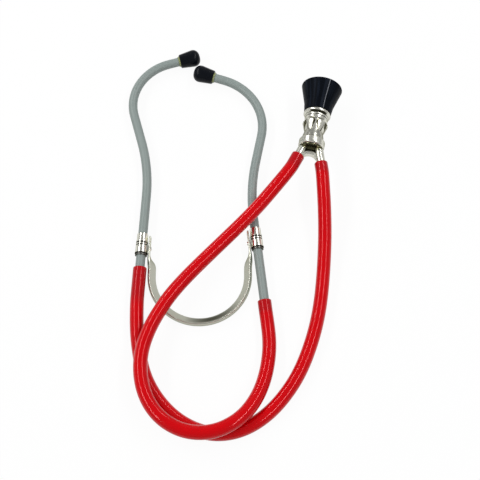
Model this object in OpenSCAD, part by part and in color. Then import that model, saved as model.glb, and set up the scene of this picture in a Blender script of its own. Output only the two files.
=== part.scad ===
// Toy stethoscope: two bent ear tubes on a sprung yoke, two hoses, a Y fitting and a turning bell head.
// It lies on a table as it was photographed. Millimetres, +Z up, +Y towards the ear tips.

/* [Ear tubes] */
// Outside diameter of an ear tube
tube_d = 6; // [5:0.1:7]
// Wall of an ear tube
tube_wall = 0.8; // [0.5:0.1:1]
// Height of the tubes' middle above the table, at the sleeves
leg_z = 4.9; // [4.6:0.1:5.4]

/* [Left ear tube] */
// Left sleeve's upper face, from the middle of the yoke's bend along Y
left_leg_up = 21.8; // [19:0.1:25]
// Turn of the left leg about the vertical
left_leg_turn = -2.5; // [-4:0.1:0]
// Tube below the sleeve's upper face
left_tail = 40; // [36:0.5:46]
// Straight run above the sleeve's upper face
left_straight = 33.6; // [30:0.1:37]
// Radius of the long outward sweep
left_sweep_r = 124; // [105:1:143]
// Angle of the long outward sweep
left_sweep_turn = 18.4; // [15:0.1:21]
// Angle of the crook at the top
left_crook_turn = 89.5; // [84:0.5:93]
// Straight run that the ear tip stands on
left_end = 6.8; // [6.2:0.1:9]
// Distance from the sleeve's upper face down to the hose's cut end
left_hose_seat = 17; // [12:0.5:26]

/* [Right ear tube] */
// Right sleeve's upper face, from the middle of the yoke's bend along Y
right_leg_up = 25.9; // [23:0.1:29]
// Turn of the right leg about the vertical
right_leg_turn = 6.6; // [4:0.1:9]
// Tube below the sleeve's upper face
right_tail = 51.4; // [47:0.1:54]
// Straight run above the sleeve's upper face
right_straight = 13.3; // [10:0.1:17]
// Radius of the long outward sweep
right_sweep_r = 132; // [112:1:152]
// Angle of the long outward sweep
right_sweep_turn = 17.8; // [15:0.1:21]
// Angle of the crook at the top
right_crook_turn = 83; // [78:0.5:87]
// Straight run that the ear tip stands on
right_end = 6.8; // [6.2:0.1:9]
// Distance from the sleeve's upper face down to the hose's cut end
right_hose_seat = 43.3; // [34:0.1:44]

/* [Ear tips] */
// Nose of the left ear tip, along X
nose_x = -25.4; // [-28:0.1:-22]
// Nose of the left ear tip, along Y
nose_y = 95.8; // [93:0.1:99]
// Length of the soft ear tip
tip_l = 14.2; // [12:0.1:16]
// Radius of the ear tip where it is fattest
tip_r = 5.8; // [5.4:0.1:6.4]
// Radius of the ear tip at its open end
tip_foot_r = 4.7; // [4.2:0.1:5.2]
// Radius that rounds the ear tip's nose
tip_nose_r = 4.4; // [3.6:0.1:4.8]
// Radius of the sound hole in the nose
tip_hole_r = 1.3; // [0.8:0.1:1.6]
// Thickness of the adaptor's collar that shows below the ear tip
adaptor_collar_t = 1; // [0.6:0.1:1.4]
// Radius of the adaptor's collar
adaptor_collar_r = 3.5; // [3.2:0.1:3.9]
// Length of the adaptor's stud inside the ear tip
adaptor_stud_l = 7; // [5:0.5:8]
// Length of the adaptor's plug inside the tube
adaptor_plug_l = 6; // [4:0.5:7.5]

/* [Sleeves and stop collars] */
// Length of the sleeve that the leg turns in
sleeve_l = 7.6; // [6.5:0.1:9]
// Wall of the sleeve
sleeve_wall = 0.75; // [0.5:0.05:0.9]
// Height of the sleeve's lower lip
sleeve_lip_h = 0.9; // [0.6:0.1:1.2]
// How far the sleeve's lower lip stands out
sleeve_lip = 0.3; // [0.1:0.05:0.4]
// Length of the stop collar above the sleeve
stop_l = 5.6; // [4.6:0.1:6.4]
// Wall of the stop collar
stop_wall = 0.45; // [0.3:0.05:0.55]
// Height of the stop collar's lip
stop_lip_h = 0.9; // [0.6:0.1:1.2]
// Thickness of the snap ring below the sleeve
snap_t = 0.9; // [0.6:0.1:1.2]

/* [Yoke spring] */
// Middle of the yoke's bend, along X
yoke_x = -22.6; // [-23.6:0.1:-21.6]
// Middle of the yoke's bend, along Y
yoke_y = -67; // [-70:0.5:-65]
// Radius of the yoke's bend, to its flat inner face
yoke_r = 29.8; // [26:0.1:34]
// How far both legs lie to the left of the bend's middle
legs_left = 0.7; // [0:0.1:1.4]
// Width of the half-round strip
strip_w = 7; // [6:0.1:7.6]
// Thickness of the half-round strip at its middle
strip_t = 3.6; // [2.8:0.1:3.8]
// Thickness of the strip at its two edges
strip_edge = 0.8; // [0.5:0.1:1.2]
// Angle at which the strip's upper edge leans outward on the legs
leg_lean_angle = 30; // [20:1:36]
// Angle at which the strip's upper edge leans outward at the bottom of the bend
bend_lean_angle = 45; // [34:1:50]
// Thickness of the flattened tabs
tab_t = 1.3; // [1:0.1:1.6]
// Height of the flattened tabs
tab_h = 5; // [4.2:0.1:5.6]
// Radius of the rivet's shank
rivet_r = 0.9; // [0.7:0.05:1.1]
// Radius of the rivet's head
rivet_head_r = 1.6; // [1.4:0.05:1.9]
// Height of the rivet's head
rivet_head_t = 0.7; // [0.5:0.05:0.9]

/* [Hoses] */
// Outside diameter of a hose
hose_d = 8.7; // [8:0.1:8.8]

/* [Head] */
// Middle of the head's lower face, along X
head_x = 49.7; // [48.7:0.1:50.7]
// Middle of the head's lower face, along Y
head_y = 17.8; // [17:0.1:19]
// Turn of the head's axis away from +Y, towards +X
head_turn = 11; // [9:0.1:13]
// Dip of the head's axis towards the bell
head_dip = 3; // [2:0.1:4]
// Radius of the bell's mouth
bell_r = 13.75; // [13:0.05:14.5]
// Radius of the bell at its foot
bell_foot_r = 9; // [8.4:0.1:9.4]
// Radius of the bell at a third of its length, where it starts to flare more
bell_waist_r = 9.95; // [9.6:0.05:10.4]
// Length of the bell's cone
bell_l = 20.9; // [19:0.1:22]
// Wall of the bell at its mouth
bell_wall = 1.4; // [1.1:0.1:1.8]
// Depth of the bell's cup
bell_cup = 15.5; // [13:0.5:16]
// Radius of the cup's floor
bell_floor_r = 5.4; // [4.4:0.1:6]
// Height of the collar that carries the bell
collar_h = 4.6; // [4.2:0.1:5]
// Radius of the collar that carries the bell
collar_r = 9.1; // [8.9:0.1:9.4]
// Height of the barrel, with its upper ring
barrel_h = 16.9; // [16:0.1:17.6]
// Radius of the barrel's waist
waist_r = 6.3; // [6:0.1:6.5]
// Radius of the barrel between its petals
barrel_r = 6.9; // [6.6:0.1:7.1]
// Radius over the barrel's petals
petal_r = 8.4; // [8:0.1:8.6]
// Height of the barrel's upper ring
ring_h = 2.8; // [2.4:0.1:3]
// Radius of the barrel's upper ring
ring_r = 7.7; // [7.4:0.1:8]
// Height of the swivel nut's flange
nut_h = 5.6; // [5.2:0.1:6]
// Radius of the swivel nut's flange
nut_r = 8.6; // [8.4:0.1:8.8]

/* [Y fitting] */
// Radius of the stem that the head turns on
stem_r = 2.4; // [2.2:0.05:2.5]
// Length of the stem above the hub
stem_l = 11; // [10.4:0.1:11.3]
// Radius of the two hose spigots
spigot_r = 2.9; // [2.7:0.05:3]
// Length of a hose spigot from the head's lower face
spigot_l = 17.8; // [17:0.1:19]
// Distance of each spigot from the axis, at the head's lower face
spigot_off = 5.1; // [4.8:0.1:5.2]
// Angle of each spigot away from the axis
spigot_turn = 17; // [16:0.5:18]
// Distance along the left spigot to the hose's cut end
spigot_left_seat = 7.5; // [7:0.1:9]
// Distance along the right spigot to the hose's cut end
spigot_right_seat = 10.7; // [9:0.1:11]
// Thickness of the web between the spigots
web_t = 1.6; // [1.2:0.1:2]
// Reach of the web below the head's lower face
web_h = 5.6; // [5.2:0.1:6.2]

/* [Clearances] */
// Radial clearance of a turning fit
turn_fit = 0.05; // [0.02:0.01:0.08]
// Radial clearance of a fixed fit
fixed_fit = 0.02; // [0.01:0.01:0.04]
// Clearance between faces that pass each other
face_gap = 0.3; // [0.25:0.01:0.35]

/* [Hidden] */
$fn = 64;

// Overrun of every cut
over = 1;
// The two sides, as an index into the lists below
LEFT = 0;
RIGHT = 1;

tube_r = tube_d / 2;
tube_bore_r = tube_r - tube_wall;
hose_r = hose_d / 2;
sleeve_r = tube_r + turn_fit + sleeve_wall;
stop_r = tube_r + fixed_fit + stop_wall;

hose_seat = [left_hose_seat, right_hose_seat];
tail = [left_tail, right_tail];
straight = [left_straight, right_straight];
sweep_r = [left_sweep_r, right_sweep_r];
sweep_turn = [left_sweep_turn, right_sweep_turn];
crook_turn = [left_crook_turn, right_crook_turn];
tube_end = [left_end, right_end];
leg_turn = [left_leg_turn, right_leg_turn];
// Each side's own direction outward is -1 or 1 along X
side = [-1, 1];

function turned(a, v) = [v[0] * cos(a) - v[1] * sin(a), v[0] * sin(a) + v[1] * cos(a)];

// The strip leans a little over the hose's flank, by this share of the hose's radius
nest_share = 0.54;
// Distance from the flat inner face of the yoke's bend to a leg's axis
yoke_inset = hose_r * (1 - nest_share) + strip_t * cos(leg_lean_angle)
    + strip_w / 2 * sin(leg_lean_angle);
leg_xy = [
    [yoke_x - legs_left - yoke_r - yoke_inset, yoke_y + left_leg_up],
    [yoke_x - legs_left + yoke_r + yoke_inset, yoke_y + right_leg_up]
];

// The right ear tip's nose lies beside the left ear tip: back from the left nose, as a share of
// the tip's length, and away from the left tip's axis, as a share of the tip's radius
meet_back_share = 0.48;
meet_away_share = 1.918;
// An ear tip's heading and the right side's nose, seen from above
tip_turn = [for (s = [LEFT, RIGHT]) crook_turn[s] - sweep_turn[s]];
function tip_way(s) = turned(leg_turn[s], [-side[s] * sin(tip_turn[s]), cos(tip_turn[s])]);
left_nose = [nose_x, nose_y];
right_nose = left_nose - tip_l * meet_back_share * tip_way(LEFT)
    + tip_r * meet_away_share * turned(-90, tip_way(LEFT));
nose = [left_nose, right_nose];

// The ear tip's fattest place, along its own length
tip_fat_share = 0.62;
tip_fat_l = tip_l * tip_fat_share;

// The tube's upper end in its leg's own frame, seen from above: inward and along
tube_goal = [for (s = [LEFT, RIGHT]) let(
    v = turned(-leg_turn[s],
        nose[s] - (adaptor_collar_t + tip_l) * tip_way(s) - leg_xy[s])
) [-side[s] * v[0], v[1]]];
function tip_ahead(s) = (adaptor_collar_t + tip_fat_l) * cos(tip_turn[s]);
// The same along the tube, which rises a little
tube_reach = [for (s = [LEFT, RIGHT]) tube_goal[s][1]
    / cos(atan((tip_r - leg_z) / (tube_goal[s][1] + tip_ahead(s))))];
// The tubes rise or sink until the ear tips lie on the table
rise = [for (s = [LEFT, RIGHT]) asin((tip_r - leg_z) / (tube_reach[s] + tip_ahead(s)))];

// What the crook and the straight run before it still have to cover, inward and along
crook_room = [for (s = [LEFT, RIGHT]) [
    tube_goal[s][0] + sweep_r[s] * (1 - cos(sweep_turn[s])) - tube_end[s] * sin(tip_turn[s]),
    tube_reach[s] - straight[s] - sweep_r[s] * sin(sweep_turn[s]) - tube_end[s] * cos(tip_turn[s])
]];
// Radius of the crook, and the straight run before it, that bring the tube's end to its place
crook_r = [for (s = [LEFT, RIGHT])
    (crook_room[s][1] * sin(sweep_turn[s]) + crook_room[s][0] * cos(sweep_turn[s]))
    / (1 - cos(crook_turn[s]))];
middle = [for (s = [LEFT, RIGHT])
    (crook_room[s][1] * (cos(sweep_turn[s]) - cos(tip_turn[s]))
        - crook_room[s][0] * (sin(sweep_turn[s]) + sin(tip_turn[s])))
    / (1 - cos(crook_turn[s]))];

// Bends of a tube: straight, sweep radius, sweep turn, middle, crook radius, crook turn, end, tail
runs = [for (s = [LEFT, RIGHT]) [straight[s], sweep_r[s], sweep_turn[s], middle[s], crook_r[s],
    crook_turn[s], tube_end[s], tail[s]]];

// A point of the leg's own frame in the part's frame, inward being away from the tube's outer side
function leg_at(s, inward, along) = let(
    p = leg_xy[s] + turned(leg_turn[s], [-side[s] * inward, along * cos(rise[s])])
) [p[0], p[1], leg_z + along * sin(rise[s])];

module at_leg(s) {
    translate([leg_xy[s][0], leg_xy[s][1], leg_z])
        rotate([0, 0, leg_turn[s]])
            rotate([rise[s], 0, 0])
                children();
}

// Puts a child with its +Z along the leg, towards the ear tip
module on_leg(s, along) {
    at_leg(s) translate([0, along, 0]) rotate([-90, 0, 0]) children();
}

// A left side's shape, mirrored for the right side
module handed(s) {
    mirror([side[s] > 0 ? 1 : 0, 0, 0]) children();
}

// Puts a child at the tube's upper end, +Z pointing out of it
module at_tube_end(p) {
    translate([-p[1], p[0], 0]) rotate([0, 0, p[2]]) translate([p[1] + p[4], p[3], 0])
        rotate([0, 0, -p[5]]) translate([-p[4], p[6], 0]) rotate([-90, 0, 0])
            children();
}

// A bend is drawn a hair wider than the straight runs, which start inside it
bend_swell = 0.01;
bend_seat = 0.05;

module run(l, r, before, after) {
    translate([0, -before, 0]) rotate([-90, 0, 0]) cylinder(h = l + before + after, r = r);
}

// past is how far it runs on at both ends, which a bore does
module bent_tube(p, r, past) {
    translate([0, -p[7], 0]) run(p[7] + p[0], r, past, bend_seat);
    translate([-p[1], p[0], 0]) {
        rotate_extrude(angle = p[2]) translate([p[1], 0]) circle(r + bend_swell);
        rotate([0, 0, p[2]]) translate([p[1], 0, 0]) {
            run(p[3], r, bend_seat, bend_seat);
            translate([p[4], p[3], 0]) {
                rotate([0, 0, 180 - p[5]]) rotate_extrude(angle = p[5])
                    translate([p[4], 0]) circle(r + bend_swell);
                rotate([0, 0, -p[5]]) translate([-p[4], 0, 0]) run(p[6], r, bend_seat, past);
            }
        }
    }
}

module ear_tube(s) {
    color("darkgray") at_leg(s) handed(s) difference() {
        bent_tube(runs[s], tube_r, 0);
        bent_tube(runs[s], tube_bore_r, over);
    }
}

// Ear tips and their adaptors

adaptor_plug_r = tube_bore_r - fixed_fit;
adaptor_stud_r = adaptor_plug_r + tube_wall / 2;
adaptor_bore_r = tube_bore_r / 2;

module tip_adaptor(s) {
    color("darkkhaki") at_leg(s) handed(s) at_tube_end(runs[s]) difference() {
        union() {
            cylinder(h = adaptor_collar_t, r = adaptor_collar_r);
            translate([0, 0, -adaptor_plug_l])
                cylinder(h = adaptor_plug_l + adaptor_collar_t, r = adaptor_plug_r);
            cylinder(h = adaptor_collar_t + adaptor_stud_l, r = adaptor_stud_r);
        }
        translate([0, 0, -adaptor_plug_l - over])
            cylinder(h = adaptor_plug_l + adaptor_collar_t + adaptor_stud_l + 2 * over,
                r = adaptor_bore_r);
    }
}

// Points of an arc about c, from angle a to angle b
function arc(c, r, a, b, n) = [for (k = [0:n]) c + r * [cos(a + (b - a) * k / n), sin(a + (b - a) * k / n)]];

tip_foot_round = 0.5;
// Radius of the shoulder that joins the cone to the nose
tip_shoulder_r = tip_nose_r;
tip_outline = concat(
    [[0, 0], [tip_foot_r - tip_foot_round, 0]],
    [[tip_foot_r, tip_foot_round]],
    arc([tip_r - tip_shoulder_r, tip_l - tip_nose_r], tip_shoulder_r, -8, 90, 14),
    [[0, tip_l]]
);

module ear_tip(s) {
    stud_room = adaptor_stud_l + face_gap;
    color("black") at_leg(s) handed(s) at_tube_end(runs[s])
        translate([0, 0, adaptor_collar_t]) difference() {
            rotate_extrude() polygon(tip_outline);
            translate([0, 0, -over]) cylinder(h = stud_room + over, r = adaptor_stud_r + fixed_fit);
            cylinder(h = tip_l + over, r = tip_hole_r);
        }
}

// Sleeves, stop collars and snap rings

pad_w = tab_h - 2 * face_gap;
pad_l = 2 * rivet_head_r + 2 * face_gap;
// Distance of the tab's outer face from the tube's axis
tab_x = sleeve_r + sleeve_lip + 2 * turn_fit;
rivet_along = -sleeve_l / 2;

module sleeve(s) {
    color("silver") at_leg(s) difference() {
        union() {
            translate([0, -sleeve_l, 0]) rotate([-90, 0, 0]) {
                cylinder(h = sleeve_l, r = sleeve_r);
                cylinder(h = sleeve_lip_h, r = sleeve_r + sleeve_lip);
            }
            translate([side[s] < 0 ? 0 : -(tab_x - turn_fit), rivet_along - pad_l / 2, -pad_w / 2])
                cube([tab_x - turn_fit, pad_l, pad_w]);
        }
        translate([0, -sleeve_l - over, 0]) rotate([-90, 0, 0])
            cylinder(h = sleeve_l + 2 * over, r = tube_r + turn_fit);
        rivet_line(s) cylinder(h = tab_x + over, r = rivet_r + fixed_fit);
    }
}

// Puts a child with its +Z pointing inward along the rivet, from the tube's axis
module rivet_line(s) {
    translate([0, rivet_along, 0]) rotate([0, -side[s] * 90, 0]) children();
}

module rivet(s) {
    shank_start = tube_r + 3 * turn_fit;
    color("gainsboro") at_leg(s) rivet_line(s) {
        translate([0, 0, shank_start])
            cylinder(h = tab_x + tab_t + fixed_fit + rivet_head_t / 2 - shank_start, r = rivet_r);
        translate([0, 0, tab_x + tab_t + fixed_fit])
            cylinder(h = rivet_head_t, r1 = rivet_head_r, r2 = rivet_head_r - rivet_head_t / 2);
    }
}

module stop_collar(s) {
    color("silver") on_leg(s, face_gap) difference() {
        union() {
            cylinder(h = stop_l, r = stop_r);
            cylinder(h = stop_lip_h, r = stop_r + sleeve_lip);
        }
        translate([0, 0, -over]) cylinder(h = stop_l + 2 * over, r = tube_r + fixed_fit);
    }
}

module snap_ring(s) {
    color("dimgray") on_leg(s, -sleeve_l - face_gap - snap_t) difference() {
        cylinder(h = snap_t, r = sleeve_r);
        translate([0, 0, -over]) cylinder(h = snap_t + 2 * over, r = tube_r + fixed_fit);
    }
}

// Yoke spring: a half-round strip with its flat face inward and its ends pressed into thin tabs

strip_arc_steps = 8;
strip_bevel = strip_edge / 2;

function mix(a, b, f) = a * (1 - f) + b * f;
function eased(f) = f * f * (3 - 2 * f);
// Section across the strip: first value outward from the flat face, second value along its width
function strip_section(f) = let(
    w = mix(tab_h, strip_w, f),
    t = mix(tab_t, strip_t, f),
    edge = mix(tab_t - strip_bevel, strip_edge, f)
) concat(
    [for (k = [-strip_arc_steps / 2 : strip_arc_steps / 2])
        let(u = 2 * k / strip_arc_steps) [edge + (t - edge) * (1 - u * u), u * w / 2]],
    [[0, w / 2 - strip_bevel], [0, -w / 2 + strip_bevel]]
);
// Height of the flat face's middle when the leaning strip just meets the table
function strip_seat(f, lean) =
    -min([for (q = strip_section(f)) q[1] * cos(lean) - q[0] * sin(lean)]);

tab_flat_x = tab_x + tab_t;
tab_top = stop_l * 3 / 4;
tab_foot = sleeve_l * 3 / 4;
leg_steps = 9;
bend_steps = 24;
// Share of a leg's length in which the tab grows into the full strip
grow_share = 0.8;
// Straight stretch between a leg's curve and the bend
leg_straight = 5;

function curve(a, b, c, d, f) =
    a * pow(1 - f, 3) + b * 3 * f * pow(1 - f, 2) + c * 3 * f * f * (1 - f) + d * pow(f, 3);
function flat(p) = [p[0], p[1]];
// One station of the strip: its middle, how far it has grown from tab to strip, and its lean
function tab_station(s, along) = [leg_at(s, tab_flat_x, along), 0, 0];
function leg_station(s, f) = let(
    top = flat(leg_at(s, tab_flat_x, -tab_foot)),
    foot = [yoke_x + side[s] * yoke_r, yoke_y + leg_straight],
    handle = (top[1] - foot[1]) / 2,
    way = flat(leg_at(s, tab_flat_x, -tab_foot - handle)),
    p = curve(top, way, foot + [0, handle], foot, f),
    grown = eased(min(1, f / grow_share)),
    lean = leg_lean_angle * eased(f)
) [[p[0], p[1], mix(leg_z, strip_seat(grown, lean), grown)], grown, lean];
function bend_station(k) = let(
    a = 180 + 180 * k / bend_steps,
    lean = mix(leg_lean_angle, bend_lean_angle, -sin(a))
) [[yoke_x + yoke_r * cos(a), yoke_y + yoke_r * sin(a), strip_seat(1, lean)], 1, lean];

stations = concat(
    [tab_station(LEFT, tab_top), tab_station(LEFT, -tab_foot)],
    [for (k = [1:leg_steps]) leg_station(LEFT, k / leg_steps)],
    [for (k = [0:bend_steps]) bend_station(k)],
    [for (k = [leg_steps:-1:1]) leg_station(RIGHT, k / leg_steps)],
    [tab_station(RIGHT, -tab_foot), tab_station(RIGHT, tab_top)]
);

function unit(v) = v / norm(v);
function heading(points, i) = unit(points[min(i + 1, len(points) - 1)] - points[max(i - 1, 0)]);

function strip_ring(i, middles) = let(
    t = heading(middles, i),
    out = unit(cross([t[0], t[1], 0], [0, 0, 1])),
    lean = stations[i][2]
) [for (q = strip_section(stations[i][1]))
    middles[i] + q[0] * (out * cos(lean) - [0, 0, sin(lean)])
    + q[1] * (out * sin(lean) + [0, 0, cos(lean)])];

// Closed skin over a list of rings with the same number of points
module skin(rings) {
    n = len(rings[0]);
    m = len(rings);
    polyhedron(
        points = [for (ring = rings) each ring],
        faces = concat(
            [[for (k = [n - 1:-1:0]) k]],
            [for (i = [0:m - 2], k = [0:n - 1])
                [i * n + k, i * n + (k + 1) % n, (i + 1) * n + (k + 1) % n]],
            [for (i = [0:m - 2], k = [0:n - 1])
                [i * n + k, (i + 1) * n + (k + 1) % n, (i + 1) * n + k]],
            [[for (k = [0:n - 1]) (m - 1) * n + k]]
        )
    );
}

module yoke_spring() {
    middles = [for (q = stations) q[0]];
    color("lightgray") difference() {
        skin([for (i = [0:len(stations) - 1]) strip_ring(i, middles)]);
        for (s = [LEFT, RIGHT]) at_leg(s) rivet_line(s)
            translate([0, 0, tube_r]) cylinder(h = 2 * tab_t + sleeve_r, r = rivet_r + turn_fit);
    }
}

// Hoses: swept tubes between true round sockets

hose_sides = 12;
// Solid end wall of a socket
socket_wall = 2;

module at_head() {
    translate([head_x, head_y, head_z]) rotate([-90 - head_dip, 0, -head_turn]) children();
}

// Lower face of the head above the table, with the bell's rim lying on it
head_l = nut_h + barrel_h + collar_h + bell_l;
head_z = bell_r * cos(head_dip) + head_l * sin(head_dip);

// A point of the head's own frame in the part's frame: across, and along towards the bell
function head_at(across, along) = let(
    p = turned(-head_turn, [across, along * cos(head_dip)])
) [head_x + p[0], head_y + p[1], head_z - along * sin(head_dip)];
// A point on a spigot's axis, at a distance from the head's lower face
function spigot_at(s, l) = head_at(side[s] * (spigot_off + l * sin(spigot_turn)), -l * cos(spigot_turn));

module on_spigot(s, l) {
    at_head() translate([side[s] * spigot_off, 0, 0]) rotate([0, 180 - side[s] * spigot_turn, 0])
        translate([0, 0, l]) children();
}

// Each route runs from an ear tube to the far spigot, lying on the table and over what it crosses
left_route = concat([leg_at(LEFT, 0, -left_tail - socket_wall / 2)], [
    [-61.3, -98, 4.45], [-60.4, -108, 4.35], [-58.9, -117, 4.35], [-57, -126, 4.35],
    [-54, -134.5, 4.35], [-49.2, -143.1, 4.35], [-43.2, -150.8, 4.35], [-36.2, -157.4, 4.35],
    [-28.2, -162.5, 4.35], [-19.6, -166, 4.35], [-10.5, -167.4, 4.35], [-1, -166.3, 4.35],
    [7.6, -163.3, 4.35], [15.8, -158.4, 4.35], [23.4, -151.9, 4.35], [29.9, -144.4, 4.35],
    [36, -135.8, 4.35], [41.4, -125.7, 4.35], [45.8, -114.6, 4.35], [49.4, -103.6, 4.35],
    [52.3, -91.6, 4.35], [54.4, -79, 4.45], [55.8, -66.5, 5.05], [56.8, -54, 6.5],
    [57.4, -42, 9.1], [57.4, -30, 12.35], [57.2, -19, 15.05]
], [spigot_at(RIGHT, spigot_l + socket_wall / 2)]);
right_route = concat([leg_at(RIGHT, 0, -right_tail - socket_wall / 2)], [
    [21.2, -107, 4.45], [21, -118.5, 4.95], [19, -130.5, 6.2], [15.9, -140.5, 8.05],
    [11.5, -149.4, 10.1], [5.2, -157.7, 12.1], [-2.5, -163.4, 13.25], [-10.6, -166.9, 13.35],
    [-19, -168.2, 13.35], [-27.7, -167.5, 13.35], [-35.9, -164.6, 13.35], [-43.5, -159.6, 13.35],
    [-49.5, -152.8, 13.35], [-53.6, -145.1, 13.35], [-56, -137, 13.35], [-57, -128.5, 13.35],
    [-56.6, -120, 13.35], [-54.6, -111.4, 13.35], [-51.2, -102.4, 13.35], [-46.2, -92.8, 13.15],
    [-40.3, -83.2, 12.75], [-32.6, -73.4, 12.35], [-23.9, -63.6, 11.7], [-14.2, -53.3, 11.5],
    [-4, -43, 12.1], [5.8, -33.2, 13.45], [15.3, -23.3, 15.05], [23.7, -13.2, 16.5],
    [31.5, -3.5, 17.25]
], [spigot_at(LEFT, spigot_l + socket_wall / 2)]);

function hose_ring(route, i) = let(
    t = heading(route, i),
    across = unit(cross(t, [0, 0, 1])),
    up = cross(across, t)
) [for (k = [0:hose_sides - 1])
    let(a = 360 * k / hose_sides) route[i] + hose_r * (cos(a) * across + sin(a) * up)];

// A closed-ended socket, in a frame whose +Z points into the hose from its cut end
module hose_socket(l, bore_r) {
    difference() {
        cylinder(h = l + socket_wall, r = hose_r);
        translate([0, 0, -over]) cylinder(h = l + over, r = bore_r);
    }
}

// s is the ear tube's side, and the hose ends on the other side's spigot
module hose(s, route, spigot_seat) {
    color("red") {
        skin([for (i = [0:len(route) - 1]) hose_ring(route, i)]);
        at_leg(s) translate([0, -hose_seat[s], 0]) rotate([90, 0, 0])
            hose_socket(tail[s] - hose_seat[s] + fixed_fit, tube_r + turn_fit);
        on_spigot(1 - s, spigot_seat)
            hose_socket(spigot_l - spigot_seat + fixed_fit, spigot_r + fixed_fit);
    }
}

// Head: nut, barrel, collar and bell stack up from the head's lower face

nut_recess = 2.7;
nut_round = 1.3;
nut_recess_r = nut_r - nut_round;
neck_wall = 1.85;
neck_r = stem_r + turn_fit + neck_wall;
neck_h = 3;
pocket_wall = 0.6;
pocket_r = neck_r - pocket_wall;
pocket_h = 1.7;
washer_t = 0.5;
hub_top = nut_recess - washer_t - 2 * fixed_fit;
barrel_z = nut_h;
ring_z = barrel_z + barrel_h;
bell_z = ring_z + collar_h;
stem_top = hub_top + stem_l;
bell_neck_r = 4.6;
bell_neck_l = 3.5;
seal_t = 0.55;
sound_r = 1.4;
bell_socket_z = ring_z - bell_neck_l - seal_t - fixed_fit;

module swivel_nut() {
    color("silver") at_head() difference() {
        union() {
            rotate_extrude() polygon(concat(
                [[0, 0], [nut_r - nut_round, 0]],
                arc([nut_r - nut_round, nut_round], nut_round, -90, 0, 6),
                arc([nut_r - nut_round, nut_h - nut_round], nut_round, 0, 90, 6),
                [[0, nut_h]]
            ));
            cylinder(h = nut_h + neck_h, r = neck_r);
        }
        translate([0, 0, -over]) cylinder(h = nut_recess + over, r = nut_recess_r);
        cylinder(h = nut_h + neck_h, r = stem_r + turn_fit);
        translate([0, 0, nut_h + neck_h - pocket_h]) cylinder(h = pocket_h + over, r = pocket_r);
    }
}

// The barrel's outline from its foot to its top
barrel_foot_r = nut_r - nut_round;
waist_z = barrel_z + barrel_h / 3;
swell_z = barrel_z + barrel_h / 2;
shelf_z = ring_z - ring_h;
ring_round = 0.6;
barrel_outline = [
    [0, barrel_z], [barrel_foot_r, barrel_z],
    [mix(waist_r, barrel_foot_r, 2 / 3), mix(waist_z, barrel_z, 1 / 2)],
    [waist_r, waist_z],
    [barrel_r, swell_z],
    [barrel_r, shelf_z],
    [ring_r - ring_round, shelf_z],
    [ring_r, shelf_z + ring_round],
    [ring_r, ring_z - ring_round],
    [ring_r - ring_round, ring_z],
    [0, ring_z]
];
petals = 6;
petal_top_z = shelf_z - face_gap;
petal_mid_share = 0.72;
petal_mid_z = barrel_z + barrel_h * petal_mid_share;
petal_half_w = 2.7;
petal_tip_w = 0.7;
// Depth of a petal's foot and top inside the barrel
petal_sink = 0.2;
wall_room = 1.5;
// Belt that the petals are cut from
petal_belt = [
    [stem_r + wall_room, waist_z], [waist_r - petal_sink, waist_z],
    [mix(waist_r, petal_r, 1 / 2), mix(waist_z, petal_mid_z, 1 / 2)],
    [petal_r - ring_round / 2, petal_mid_z - ring_round],
    [petal_r, petal_mid_z],
    [petal_r - ring_round / 2, petal_mid_z + 2 * ring_round],
    [barrel_r - petal_sink, petal_top_z], [stem_r + wall_room, petal_top_z]
];

module petal() {
    intersection() {
        rotate_extrude() polygon(petal_belt);
        rotate([90, 0, 90]) translate([0, 0, stem_r + wall_room]) linear_extrude(petal_r)
            polygon(concat(
                [[-petal_tip_w, waist_z], [petal_tip_w, waist_z]],
                arc([0, petal_top_z - petal_half_w], petal_half_w, -20, 200, 12)
            ));
    }
}

module barrel() {
    color("silver") at_head() difference() {
        union() {
            rotate_extrude() polygon(barrel_outline);
            for (k = [0:petals - 1]) rotate([0, 0, k * 360 / petals]) petal();
        }
        translate([0, 0, barrel_z - over])
            cylinder(h = neck_h + face_gap + over, r = neck_r + fixed_fit);
        cylinder(h = stem_top + face_gap, r = stem_r + turn_fit);
        cylinder(h = head_l, r = sound_r);
        translate([0, 0, bell_socket_z]) cylinder(h = ring_z, r = bell_neck_r + fixed_fit);
    }
}

collar_bead = 1.1;
collar_lip = 1.2;
collar_lip_h = 0.5;
collar_groove = 1.5;

module bell_collar() {
    color("gainsboro") at_head() translate([0, 0, ring_z]) difference() {
        rotate_extrude() polygon(concat(
            [[0, 0], [collar_r - collar_groove, 0], [collar_r - collar_lip, collar_lip_h],
             [collar_r - collar_lip, 2 * collar_lip_h],
             [collar_r - collar_groove, collar_h - 2 * collar_bead - collar_lip_h]],
            arc([collar_r - collar_bead, collar_h - collar_bead], collar_bead, -80, 90, 9),
            [[0, collar_h]]
        ));
        translate([0, 0, -over]) cylinder(h = collar_h + 2 * over, r = bell_neck_r + fixed_fit);
    }
}

module bell_seal() {
    color("dimgray") at_head() translate([0, 0, bell_socket_z]) difference() {
        cylinder(h = seal_t, r = bell_neck_r);
        translate([0, 0, -over]) cylinder(h = seal_t + 2 * over, r = sound_r);
    }
}

bell_rim_round = 0.5;
seam_w = 0.4;
seam_t = 0.25;
// The mould's parting seam lies a little to the right of the side that faces up
seam_turn = -70;

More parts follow.
